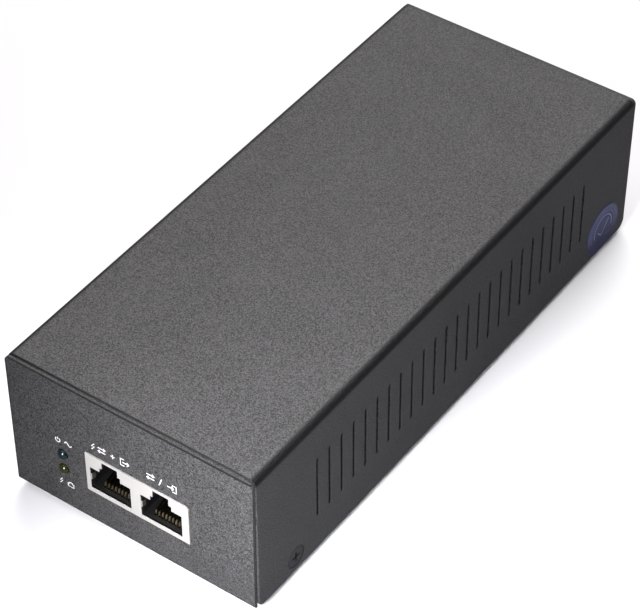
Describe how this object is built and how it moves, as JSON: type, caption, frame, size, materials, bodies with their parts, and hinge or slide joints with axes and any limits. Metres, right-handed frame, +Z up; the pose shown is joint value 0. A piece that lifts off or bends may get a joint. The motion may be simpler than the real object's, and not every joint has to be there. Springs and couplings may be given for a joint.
{
  "type": "poe injector",
  "caption": "Mains-powered network power injector in a long slotted sheet-steel case, with side-by-side shielded ports and status lamps in front and a mains inlet behind.",
  "frame": {"origin": "middle of the case's width and length, on the plane under the rubber feet", "axes": "+Z up, +Y from the port panel towards the mains inlet panel, +X to the right as seen from the port panel"},
  "size_m": [0.0741, 0.1742, 0.046],
  "materials": {
    "case_coat": "fine textured dark grey powder coat on steel sheet",
    "black_zinc": "black zinc-plated screw steel",
    "bright_steel": "bright zinc-plated steel",
    "foot_rubber": "matt black rubber",
    "seal_film": "blue printed seal film",
    "insulation": "translucent insulating film",
    "board_laminate": "green solder-masked laminate",
    "jack_plating": "satin tin-plated sheet",
    "black_plastic": "black moulded plastic",
    "contact_gold": "gold-plated spring wire",
    "lamp_lens_green": "tinted clear resin",
    "lamp_lens_amber": "tinted clear resin",
    "blade_plating": "nickel-plated brass blade",
    "tinned_copper": "tinned copper",
    "sleeve_nylon": "translucent nylon sleeve",
    "wire_brown": "brown wire insulation",
    "wire_blue": "blue wire insulation",
    "wire_earth": "green and yellow wire insulation",
    "terminal_green": "green moulded terminal block",
    "fuse_glass": "clear glass tube",
    "disc_blue": "blue dipped coating",
    "disc_black": "black dipped coating",
    "box_yellow": "yellow moulded case",
    "ferrite": "dark grey sintered ferrite",
    "core_green": "green coated powder core",
    "enamel_copper": "enamelled copper wire",
    "can_sleeve": "shrunk sleeve on an aluminium can",
    "heatsink_aluminium": "plain extruded aluminium",
    "coil_tape": "yellow polyester tape",
    "package_black": "black epoxy package",
    "chip_ceramic": "tan sintered ceramic with tinned ends"
  },
  "bodies": {
    "root": {"cover": "case_coat", "base_pan": "case_coat", "cover_screws": "black_zinc", "rubber_feet": "foot_rubber", "seal_sticker": "seal_film", "standoffs": "bright_steel", "insulating_film": "insulation", "main_board": "board_laminate", "board_screws": "bright_steel", "jack_shield": "jack_plating", "jack_housing": "black_plastic", "jack_contacts": "contact_gold", "lamp_power": "lamp_lens_green", "lamp_supply": "lamp_lens_amber", "lamp_holder": "black_plastic", "inlet_housing": "black_plastic", "inlet_blades": "blade_plating", "inlet_earth_blade": "blade_plating", "inlet_screws": "black_zinc", "inlet_nuts": "bright_steel", "earth_screw": "bright_steel", "earth_washer": "bright_steel", "earth_nut": "bright_steel", "earth_lug": "tinned_copper", "tab_sleeves": "sleeve_nylon", "line_wire": "wire_brown", "neutral_wire": "wire_blue", "earth_wire": "wire_earth", "terminal_block": "terminal_green", "fuse_tube": "fuse_glass", "fuse_caps": "bright_steel", "varistor": "disc_blue", "thermistor": "disc_black", "x_capacitor": "box_yellow", "choke_core": "core_green", "choke_windings": "enamel_copper", "bridge_rectifier": "package_black", "bulk_capacitor": "can_sleeve", "primary_heatsink": "heatsink_aluminium", "switching_transistor": "package_black", "secondary_heatsink": "heatsink_aluminium", "output_rectifier": "package_black", "heatsink_screws": "bright_steel", "transformer_core": "ferrite", "transformer_winding": "coil_tape", "transformer_bobbin": "package_black", "y_capacitor": "disc_blue", "optocoupler": "package_black", "control_chip": "package_black", "output_capacitors": "can_sleeve", "inductor_core": "core_green", "inductor_winding": "enamel_copper", "line_magnetics": "package_black", "power_controller": "package_black", "chip_parts": "chip_ceramic"}
  },
  "joints": []
}
